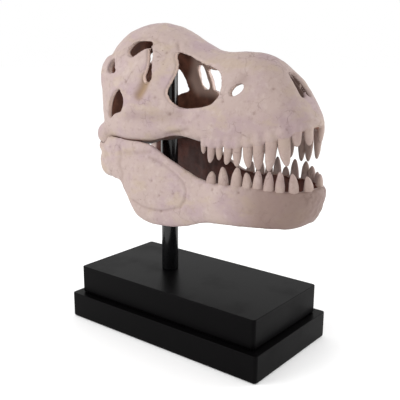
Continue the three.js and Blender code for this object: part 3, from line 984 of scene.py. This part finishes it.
@dataclass
class JawPath:
    """Plan line of one half of the lower jaw, from its back end to the midline at the chin.

    Attributes:
        side: Points along the side, x and distance from the midline.
        arch_x: Where the rounded front begins.
        arch_length: Reach of the rounded front.
        arch_width: Half width of the rounded front.
        steps: Straight steps between two points of the side.
        line: The whole line in small steps.
        length: Distance run at each point of the line.
    """

    side: tuple[Pair, ...] = (
        (-115.5, 47), (-88, 53), (-50, 56), (-10, 51), (40, 43), (90, 39.5), (128, 38),
    )
    arch_x: float = 128
    arch_length: float = 45
    arch_width: float = 38
    steps: int = 20
    line: Array = field(init=False)
    length: Array = field(init=False)

    def __post_init__(self) -> None:
        """Draws the line in small steps and measures it."""
        points = []
        last = len(self.side) - 1
        for i in range(last):
            a, b, c, d = (np.array(self.side[min(max(i + k, 0), last)], float) for k in (-1, 0, 1, 2))
            points += [eased_point(a, b, c, d, t) for t in np.arange(self.steps) / self.steps]
        for angle in np.linspace(0, np.pi / 2, 60):
            x, y = self.arch_x + self.arch_length * np.sin(angle), self.arch_width * np.cos(angle)
            points.append(np.array((x, y)))
        self.line = np.array(points)
        steps = np.linalg.norm(np.diff(self.line, axis=0), axis=1)
        self.length = np.concatenate([[0], np.cumsum(steps)])

    def at(self, share: Array) -> tuple[Array, Array, Array, Array]:
        """Point and direction at a share of the way.

        Args:
            share: Shares of the way, from 0 to 1.

        Returns:
            The x, the y and the two parts of the direction.
        """
        whole = self.length[-1]
        step = 0.002

        def point(s: Array) -> tuple[Array, Array]:
            """Point at a share of the way."""
            run = np.clip(s, 0, 1) * whole
            return np.interp(run, self.length, self.line[:, 0]), np.interp(run, self.length, self.line[:, 1])

        x, y = point(share)
        before, after = point(share - step), point(share + step)
        dx, dy = after[0] - before[0], after[1] - before[1]
        size = np.hypot(dx, dy)
        return x, y, dx / size, dy / size

    def inward(self, where: Array) -> Array:
        """How far each point lies towards the inside of the mouth from the line."""
        plan = np.stack([where[:, 0], np.abs(where[:, 1])], axis=1)
        coarse = self.line[::3]
        ways = np.gradient(coarse, axis=0)
        ways /= np.linalg.norm(ways, axis=1)[:, None]
        nearest = np.array([np.argmin(((coarse - p) ** 2).sum(1)) for p in plan])
        offset = plan - coarse[nearest]
        way = ways[nearest]
        return way[:, 0] * -offset[:, 1] + way[:, 1] * offset[:, 0]


JAW_MARKS = Marks(
    strokes=(
        Stroke((
            (-24, -59, 233), (-14.4, -57.3, 230), (1, -54.6, 223), (13.6, -52.7, 215.7),
            (23.8, -51.7, 207), (27, -51.7, 197.6), (25.6, -52, 186), (18.5, -52.9, 176.4),
            (3, -55.5, 171), (-8, -57, 168.5), (-19, -59.2, 168.4), (-30.6, -61, 169.3),
            (-39, -62.5, 172), (-48.7, -63, 176),
        ), 2.6, -1.3),
        Stroke(((6, -54, 223), (15.5, -52.5, 217.5), (24, -52, 212), (30, -51, 204)), 3.0, 0.8),
        Stroke(((-61, -63, 234.7), (-42, -62, 236.2), (-24, -58, 239.5)), 4.0, -1.2),
        Stroke((
            (-71, -62.5, 240), (-68, -63, 230), (-71, -63, 219), (-66, -63, 209), (-68, -63, 199),
        ), 4.5, -1.2),
        Stroke((
            (50.8, -44.1, 210.5), (63, -43, 209.6), (86.5, -42.2, 209), (110.7, -41.7, 209),
            (128, -40, 209.6),
        ), 1.8, -0.6),
        Stroke(((99, -46, 183), (110, -45.7, 184), (122, -45.6, 185.6)), 2.0, -0.5),
        Stroke(((-10, -57, 200), (5, -55, 195)), 26.0, 1.2),
        Stroke(((60, -47, 190), (120, -45, 192)), 12.0, 0.6),
    ),
    pits=(
        (-8, -57.2, 168), (-19.5, -59.8, 205.2), (-9.3, -57.9, 188), (10.5, -54.6, 193),
        (61.6, -46.7, 203.7), (88.9, -44.3, 206.8), (97.3, -44.7, 205.4), (167.8, -26.4, 207.5),
        (171, -23.1, 205.2), (172.7, -17.8, 209.9), (176.2, -12.7, 206.2), (177, -7.8, 209.8),
        (174.6, -15.9, 200.9), (156.2, -37.6, 199.5), (160, -35, 203),
    ),
    pit_width=2.0,
    soak=4,
    limit=0.4,
)


@dataclass
class LowerJaw:
    """The lower jaw, both halves and the chin in one piece.

    Attributes:
        path: Plan line of a half.
        roundness: Exponent of its rounded sections.
        chin_lean: How far the chin slopes back towards its lower edge.
        chin_top: Height where the slope begins.
        seat_gap: Gap kept to the skull that rests on it.
        voxel: Size of the finished faces.
    """

    path: JawPath = field(default_factory=JawPath)
    roundness: float = 2.6
    chin_lean: float = 0.32
    chin_top: float = 214
    seat_gap: float = 0.6
    voxel: float = 1.25

    def build(self, sockets: list[Piece]) -> Piece:
        """Makes the lower jaw.

        Args:
            sockets: Rounded swellings round the roots of the lower teeth, which join the jaw.

        Returns:
            The finished mesh as an object.
        """
        bar = loft("bar", 300, 48, self.skin)
        jaw = joined("lower_jaw", [bar, *self.knobs(), *sockets])
        refine(jaw, self.voxel, 1)
        cut(jaw, self.seat())
        refine(jaw, self.voxel, 2)
        self.sculpt(jaw.data)
        return jaw

    def skin(self, t: Array, angle: Array, radius: Array) -> tuple[Array, ...]:
        """Points of the bar, which runs from the right back end round the chin to the left one."""
        share = 1 - np.abs(2 * t - 1)
        side = np.where(t < 0.5, Side.RIGHT.value, Side.LEFT.value)
        x, y, dx, dy = self.path.at(share)
        top, bottom, thick = JAW.at(share)
        out = signed_power(np.cos(angle), 2 / self.roundness) * thick * radius
        z = (top + bottom) / 2 + signed_power(np.sin(angle), 2 / self.roundness) * (top - bottom) / 2 * radius
        front = np.maximum(0, (x - self.path.arch_x) / self.path.arch_length)
        lean = self.chin_lean * front * (z - self.chin_top)
        return x - dy * out + lean, side * (y + dx * out), z

    def knobs(self) -> list[Piece]:
        """Lumps of the joint at the back ends."""
        made = []
        for side in Side:
            made.append(ball("joint_lump", (-106.5, 48 * side.value, 237), (10.5, 9.5, 12)))
            made.append(ball("joint_lump_low", (-102, 50 * side.value, 213), (10, 8, 10)))
        return made

    def seat(self) -> Piece:
        """The skull's solid outside, lowered a little, which the jaw's top is cut to."""
        parts = [loft("seat_skin", 120, 96, Skull().skin)]
        seat = joined("seat", parts + [quadrate_knob(side) for side in Side])
        refine(seat, 2.0, 1)
        move_to(seat.data, coordinates(seat.data) - np.array((0, 0, self.seat_gap)))
        return seat

    def sculpt(self, mesh: Mesh) -> None:
        """Works ridges, grooves, pits and unevenness into the skin and stores where it is brown and where
        painted shade goes.
        """
        where = coordinates(mesh)
        facing = normals(mesh)
        x = where[:, 0]
        # The jaw's plan line is that of a chin which doesn't lean
        upright = where.copy()
        front = np.maximum(0, x - self.path.arch_x)
        lean = self.chin_lean * (where[:, 2] - self.chin_top) / self.path.arch_length
        upright[:, 0] += front / (1 + lean) - front
        inward = self.path.inward(upright)
        skin = 1 - smooth_step(inward, -2, 3)
        # Painted shade, darker towards the front of the jaw, added to the brown wash of the marks
        rise, wash = JAW_MARKS.work(where, 0.9 * smooth_step(x, 60, 135) + 0.22 * smooth_step(x, 100, 150))
        rise *= skin
        wash *= skin
        chin = smooth_step(x, 158, 172)
        rise += 0.5 * unevenness(where, 15, 9.3) + (0.25 + 0.5 * chin) * unevenness(where, 5.5, 1.9)
        rise += 1.6 * smooth_step(-x, 84, 94) * unevenness(where, 9, 4.4)
        move_to(mesh, where + facing * rise[:, None])
        # Dark brown on the jaw's inner faces, partly brown stain and partly painted shade
        inside = smooth_step(inward, 1.0, 4.5) * smooth_step(x, -112, -95)
        # Painted shade on the upper edge, where it lies in the shade of the cheek
        top = smooth_step(facing[:, 2], 0.3, 0.8) * smooth_step(inward, -3, 1)
        inside = np.maximum(inside, top * smooth_step(x, -92, -80) * (1 - smooth_step(x, -40, -20)))
        paint(mesh, "inside", inside)
        paint(mesh, "wash", wash)


# Reach of a swelling round a root past its middle
SOCKET_REACH = 7
# How far sideways the tips stand off at most
TIP_LEAN = 0.5


@dataclass
class ToothRow:
    """All teeth of one jaw, on both sides.

    Attributes:
        name: Name of the piece.
        hang: Which way the teeth point.
        arch: Where the rounded front of the row begins, its reach and its half width.
        back: Back end of the row, x and distance from the midline.
        teeth: For each tooth of a side its distance along the row from the midline, length, width and how far
            back along the row its tip stands.
        narrowing: Share of its width that a tooth loses on the way to its tip.
        cover: How far the bone swells over the teeth past the gum line.
        gum: Gives the height of the gum at x and at a distance along the row.
        front: Distance up to which the sockets stand further in, under the rounded front.
        root: Length hidden in the bone.
        flatness: Thickness of a tooth as a share of its width.
        bluntness: How squarely the tips are rounded off.
        sides: Sides of a tooth's sections.
        rings: Sections of a tooth.
    """

    name: str
    hang: Hang
    arch: Triple
    back: Pair
    teeth: dict[Side, tuple[tuple[float, float, float, float], ...]]
    narrowing: float
    cover: float
    gum: Callable[[float, float], float]
    front: float = 36
    root: float = 6
    flatness: float = 0.72
    bluntness: float = 5
    sides: int = 18
    rings: int = 16

    def __post_init__(self) -> None:
        """Draws the row's plan line and measures it."""
        x, length, width = self.arch
        angles = np.linspace(0, np.pi / 2, 200)
        line = [(x + length * math.cos(a), width * math.sin(a)) for a in angles]
        line.append(self.back)
        self.line = np.array(line)
        self.run = np.concatenate([[0], np.cumsum(np.linalg.norm(np.diff(self.line, axis=0), axis=1))])

    def stand(self, distance: float, side: Side) -> Triple:
        """Plan place and heading of a tooth at a distance from the midline."""
        x, y = (float(np.interp(distance, self.run, self.line[:, k])) for k in (0, 1))
        ahead = [float(np.interp(distance + 0.5, self.run, self.line[:, k])) for k in (0, 1)]
        behind = [float(np.interp(distance - 0.5, self.run, self.line[:, k])) for k in (0, 1)]
        heading = math.atan2(side.value * (ahead[1] - behind[1]), ahead[0] - behind[0])
        return x, side.value * y, heading

    def sockets(self) -> list[Piece]:
        """Rounded swellings of the bone round each root."""
        made = []
        for side, teeth in self.teeth.items():
            for distance, _, width, _ in teeth:
                x, y, heading = self.stand(distance, side)
                z = self.gum(x, distance) + self.hang.value * (self.cover - SOCKET_REACH)
                turn = Matrix.Rotation(heading, 4, "Z")
                inward = side.value * Vector((-math.sin(heading), math.cos(heading), 0))
                inward *= 1.2 if distance < self.front else 0.2
                made.append(ball("socket", Vector((x, y, z)) + inward, (width * 0.58, width * 0.5, 8), turn))
        return made

    def build(self) -> Piece:
        """Makes the teeth as one piece."""
        chance = random.Random(self.name)
        made = []
        for side, teeth in self.teeth.items():
            for distance, *sizes in teeth:
                x, y, heading = self.stand(distance, side)
                spot = (x, y, self.gum(x, distance))
                made.append(self.tooth(spot, heading, *sizes, chance.uniform(-TIP_LEAN, TIP_LEAN)))
        row = joined(self.name, made)
        self.sculpt(row.data)
        return row

    def tooth(
        self, spot: Triple, heading: float, length: float, width: float, sweep: float, lean: float,
    ) -> Piece:
        """Makes one blunt, slightly curved tooth with its root.

        Args:
            spot: Middle of the tooth at the gum.
            heading: Direction of the row.
            length: Length that shows.
            width: Width at the gum.
            sweep: How far back along the row the tip stands.
            lean: How far the tip stands off sideways.

        Returns:
            The tooth.
        """
        whole = length + self.root

        def place(t: Array, angle: Array, radius: Array) -> tuple[Array, ...]:
            """Points of the tooth."""
            height = (1 - (1 - t) ** 1.6) * whole - self.root
            share = np.maximum(height / length, 0)
            rounding = np.sqrt(np.maximum(1 - share**self.bluntness, 0))
            swell = 1.04 + 0.08 * np.sin(np.clip(share, 0, 1) * np.pi)
            hidden = 1 - 0.45 * np.clip(-height / self.root, 0, 1)
            taper = (1 - self.narrowing * share) * rounding * radius * swell * hidden
            along = np.cos(angle) * width * taper / 2 + sweep * share**2
            across = np.sin(angle) * width * self.flatness * taper / 2 + lean * share
            return (
                spot[0] + math.cos(heading) * along - math.sin(heading) * across,
                spot[1] + math.sin(heading) * along + math.cos(heading) * across,
                spot[2] + self.hang.value * height,
            )

        return loft("tooth", self.rings, self.sides, place)

    def sculpt(self, mesh: Mesh) -> None:
        """Makes the teeth uneven and stores where they are darker: near the gum, and with painted shade on
        the sides that face into the mouth.
        """
        where = coordinates(mesh)
        facing = normals(mesh)
        rise = 0.28 * unevenness(where * np.array((1, 1, 0.45)), 3.2, 4.2) + 0.2 * unevenness(where, 6, 2.2)
        move_to(mesh, where + facing * rise[:, None])
        heights = np.array([self.gum(float(x), float(d)) for x, d in zip(where[:, 0], self.distances(where))])
        out = (where[:, 2] - heights) * self.hang.value
        low = 1 - smooth_step(out, 0.5, 6)
        centre = np.stack([np.clip(where[:, 0], -60, 128), np.zeros(len(where)), where[:, 2]], axis=1)
        way = centre - where
        inner = smooth_step((way * facing).sum(1) / np.linalg.norm(way, axis=1), 0.1, 0.8)
        # Painted shade on the sides that face into the mouth, and darker near the gum
        paint(mesh, "inside", 0.75 * low * inner)
        paint(mesh, "wash", 0.05 * low + 0.2 * low * inner + 0.1 * inner)

    def distances(self, where: Array) -> Array:
        """Distance along the row of each point, found from its x and side width."""
        plan = np.stack([where[:, 0], np.abs(where[:, 1])], axis=1)
        fine = np.linspace(0, self.run[-1], 160)
        line = np.stack([np.interp(fine, self.run, self.line[:, k]) for k in (0, 1)], axis=1)
        return np.array([fine[np.argmin(((line - p) ** 2).sum(1))] for p in plan])


def upper_gum(x: float, distance: float) -> float:
    """Height of the gum of the upper row, a little above the skull's lower margin."""
    return SKULL.sizes(x)[2] + GUM_RISE


def lower_gum(x: float, distance: float) -> float:
    """Height of the gum of the lower row, a little below the jaw's upper edge."""
    return JAW.sizes(1 - distance / JAW_LENGTH)[0] - GUM_RISE


UPPER_TEETH = {
    Side.RIGHT: (
        (14, 19.5, 11.5, -2), (28.5, 17.5, 12, -1.5), (41.5, 34, 14, -4.5), (55, 35.5, 13.5, 2),
        (70.5, 30.5, 13.5, 0), (84.2, 26.5, 12.2, -0.8), (98, 25, 11.3, 0), (109.5, 23.2, 11, 3),
        (122, 18, 9, 0.5), (133, 21.5, 10, 2), (144, 11, 7, 0.5),
    ),
    Side.LEFT: (
        (14, 19.5, 11.5, -2), (33, 38, 12.5, 1), (50.5, 37, 12, 0), (60.5, 34.5, 10.5, 0),
        (75.5, 28, 9.5, 1), (84, 26, 12, 0), (100, 25, 11.3, 0), (111, 22.5, 10.5, 1),
        (122, 18, 9, 0.5), (133, 20, 10, 1), (144, 11, 7, 0.5),
    ),
}
LOWER_TEETH = {
    Side.RIGHT: (
        (12.5, 17.5, 12.5, 3.5), (30.5, 22, 11.5, 2), (45.5, 24, 11, 0), (58.5, 22.5, 12.5, -0.5),
        (72.5, 22, 12, -0.5), (86, 17.5, 12.5, 1), (100.5, 23, 14, -1.5), (118, 22, 13.5, 1.5),
        (135, 15, 13, -1),
    ),
    Side.LEFT: (
        (12.5, 15, 12, 3), (30.5, 15.5, 11.5, 1), (44.5, 19.5, 13, 0), (55, 23.5, 12.5, 0),
        (70.3, 23.5, 11.5, 0), (82.5, 13, 10.5, 0), (95, 24, 11.5, 0), (107, 19, 11, 0),
        (120, 21, 12.5, 1), (135, 15, 12, -1),
    ),
}


@dataclass
class Stand:
    """Two black tiers and the rod, in the places of their model nodes.

    Attributes:
        corner: Radius of the tiers' upright edges.
        rim: Radius of their top edges.
        foot: Radius of their bottom edges.
        rod_edge: Radius of the rod's edges.
    """

    corner: float = 4.0
    rim: float = 1.0
    foot: float = 2.2
    rod_edge: float = 0.6

    def tier(self, node: str, name: str) -> Piece:
        """Makes a tier with rounded edges inside the box of its node."""
        low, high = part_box(node)
        shape = bmesh.new()
        bmesh.ops.create_cube(shape, size=1)
        size = Vector(high) - Vector(low)
        bmesh.ops.scale(shape, vec=size, verts=shape.verts)
        bmesh.ops.translate(shape, vec=Vector(low) + size / 2, verts=shape.verts)
        top, bottom = high[2], low[2]
        uprights = [e for e in shape.edges if abs(e.verts[0].co.z - e.verts[1].co.z) > size.z / 2]
        self.round_off(shape, uprights, self.corner, 6)
        self.round_off(shape, self.level_edges(shape, top), self.rim, 3)
        self.round_off(shape, self.level_edges(shape, bottom), self.foot, 4)
        return as_object(shape, name)

    def level_edges(self, shape: bmesh.types.BMesh, height: float) -> list[bmesh.types.BMEdge]:
        """Outer edges of a flat face at a height."""
        level = [e for e in shape.edges if all(abs(v.co.z - height) < LEVEL for v in e.verts)]
        return [e for e in level if e.is_manifold]

    def round_off(
        self, shape: bmesh.types.BMesh, edges: list[bmesh.types.BMEdge], radius: float, steps: int,
    ) -> None:
        """Rounds edges off with a radius."""
        bmesh.ops.bevel(
            shape, geom=edges, offset=radius * MM, offset_type="OFFSET", segments=steps, profile=0.5,
            affect="EDGES", clamp_overlap=True, material=-1,
        )

    def flatten(self, mesh: Mesh) -> None:
        """Shades the large faces flat and leaves the rounded edges smooth."""
        for face in mesh.polygons:
            face.use_smooth = face.area < FLAT_FACE

    def rod(self) -> Piece:
        """Makes the rod with small bevels at its ends."""
        low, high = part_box("stand_rod")
        radius = (high[0] - low[0]) / 2
        shape = bmesh.new()
        bmesh.ops.create_cone(
            shape, cap_ends=True, segments=72, radius1=radius, radius2=radius, depth=high[2] - low[2],
        )
        middle = (Vector(low) + Vector(high)) / 2
        bmesh.ops.translate(shape, vec=middle, verts=shape.verts)
        ends = [e for e in shape.edges if abs(e.verts[0].co.z - e.verts[1].co.z) < LEVEL]
        self.round_off(shape, ends, self.rod_edge, 2)
        return as_object(shape, "rod")

    def build(self) -> None:
        """Makes and dresses the stand."""
        black = StandFinish("satin_black_paint", (0.0014, 0.0012, 0.0014), 0.34, 0.12, 0.045, 0.02).material()
        gloss = StandFinish("gloss_black_rod", (0.004, 0.004, 0.0045), 0.16, 0.06, 0.5, 0.004).material()
        for node, name in (("stand_base_lower", "base_lower_tier"), ("stand_base_upper", "base_upper_tier")):
            tier = self.tier(node, name)
            dress(tier, black, [node])
            self.flatten(tier.data)
        dress(self.rod(), gloss, ["stand_rod"])


@dataclass(frozen=True)
class Studio:
    """Camera, floor and soft light.

    Attributes:
        place: Where the camera stands, in millimetres.
        azimuth: Direction of view round the object, in degrees.
        elevation: Height of the camera above the horizon, in degrees.
        roll: Small turn of the picture, in degrees.
        focal: Focal length in pixels of the picture.
        picture: Width of the picture in pixels.
        sensor: Width of the camera's sensor, in millimetres.
        aim: Where the lights point, in metres.
        floor_radius: Radius of the floor, in metres.
        floor_drop: Gap below the stand, in metres.
    """

    place: Triple = (507.7, -639.1, 384.0)
    azimuth: float = 38.04
    elevation: float = 14.54
    roll: float = 0.36
    focal: float = 662.5
    picture: float = 400
    sensor: float = 36
    aim: Triple = (0.02, 0, 0.26)
    floor_radius: float = 6
    floor_drop: float = 0.0006

    def camera(self) -> None:
        """Sets up the camera at the photo's viewing angle."""
        a, e, r = (math.radians(v) for v in (self.azimuth, self.elevation, self.roll))
        back = Vector((math.sin(a) * math.cos(e), -math.cos(a) * math.cos(e), math.sin(e)))
        level = Vector((math.cos(a), math.sin(a), 0))
        up = back.cross(level)
        right = math.cos(r) * level + math.sin(r) * up
        upward = math.cos(r) * up - math.sin(r) * level
        data = bpy.data.cameras.new("camera")
        data.sensor_width = self.sensor
        data.lens = self.sensor * self.focal / self.picture
        data.clip_end = 50
        camera = bpy.data.objects.new("camera", data)
        turn = Matrix((right, upward, back)).transposed().to_4x4()
        camera.matrix_world = Matrix.Translation(Vector(self.place) * MM) @ turn
        bpy.context.scene.collection.objects.link(camera)
        bpy.context.scene.camera = camera

    def floor(self) -> None:
        """Lays a wide, flat, pale floor just under the stand."""
        shape = bmesh.new()
        bmesh.ops.create_circle(shape, cap_ends=True, segments=96, radius=self.floor_radius)
        bmesh.ops.translate(shape, vec=(0, 0, -self.floor_drop), verts=shape.verts)
        floor = as_object(shape, "floor")
        if floor.data.polygons[0].normal.z < 0:
            floor.data.flip_normals()
        graph = Graph("pale_floor")
        tone = graph.mix(graph.cloud(400, 2), (0.88, 0.88, 0.88), (0.92, 0.92, 0.92))
        graph.feed(graph.shader.inputs["Base Color"], tone)
        graph.shader.inputs["Roughness"].default_value = 0.9
        graph.shader.inputs["Specular IOR Level"].default_value = 0.1
        graph.shader.inputs["Emission Color"].default_value = (1, 1, 1, 1)
        graph.shader.inputs["Emission Strength"].default_value = 0.14
        floor.data.materials.append(graph.material)

    def light(self, name: str, place: Sequence[float], size: float, watts: float) -> None:
        """Adds a soft square light that points at the skull.

        Args:
            name: Name of the light.
            place: Where it stands, in metres.
            size: Length of its sides, in metres.
            watts: Its power.
        """
        data = bpy.data.lights.new(name, "AREA")
        data.size = size
        data.energy = watts
        lamp = bpy.data.objects.new(name, data)
        way = Vector(self.aim) - Vector(place)
        turn = way.to_track_quat("-Z", "Y").to_matrix().to_4x4()
        lamp.matrix_world = Matrix.Translation(Vector(place)) @ turn
        bpy.context.scene.collection.objects.link(lamp)

    def build(self) -> None:
        """Sets up the whole studio."""
        self.camera()
        self.floor()
        world = bpy.data.worlds.new("studio")
        world.use_nodes = True
        background = world.node_tree.nodes["Background"]
        background.inputs["Color"].default_value = (1, 1, 1, 1)
        background.inputs["Strength"].default_value = 1.0
        bpy.context.scene.world = world
        self.light("key", (-1.1, -1.5, 1.3), 1.2, 20)
        self.light("rim", (1.0, 1.1, 0.6), 0.8, 8)
        view = bpy.context.scene.view_settings
        view.view_transform = "Standard"
        view.look = "None"


def main() -> None:
    """Builds and dresses the whole casting on its stand."""
    logging.basicConfig(level=logging.INFO, format="%(name)s: %(message)s")
    Studio().build()
    bone = BoneFinish().material()
    # The jaw's inside is darker still: brown stain and painted shade in the mouth
    jaw_bone = BoneFinish(name="painted_jaw", hollow=(0.056, 0.012, 0.006)).material()
    ivory = BoneFinish(
        name="painted_teeth",
        pale=(0.365, 0.272, 0.238),
        rosy=(0.335, 0.242, 0.225),
        sandy=(0.380, 0.290, 0.240),
        pits=0.5,
    ).material()
    upper = ToothRow("upper_teeth", Hang.DOWN, (128, 39.5, 38.5), (20, 43), UPPER_TEETH, 0.30, 6.0, upper_gum)
    lower = ToothRow("lower_teeth", Hang.UP, (128, 42, 38), (20, 42.5), LOWER_TEETH, 0.45, 3.5, lower_gum)
    skull = Skull().build(upper.sockets())
    dress(skull, bone, ["snout", "cheek_right", "cheek_left", "skull_roof", "palate", "skull_back"])
    dress(upper.build(), ivory, [])
    dress(LowerJaw().build(lower.sockets()), jaw_bone, ["jaw_right", "jaw_left"])
    dress(lower.build(), ivory, [])
    Stand().build()


if __name__ == "__main__":
    main()
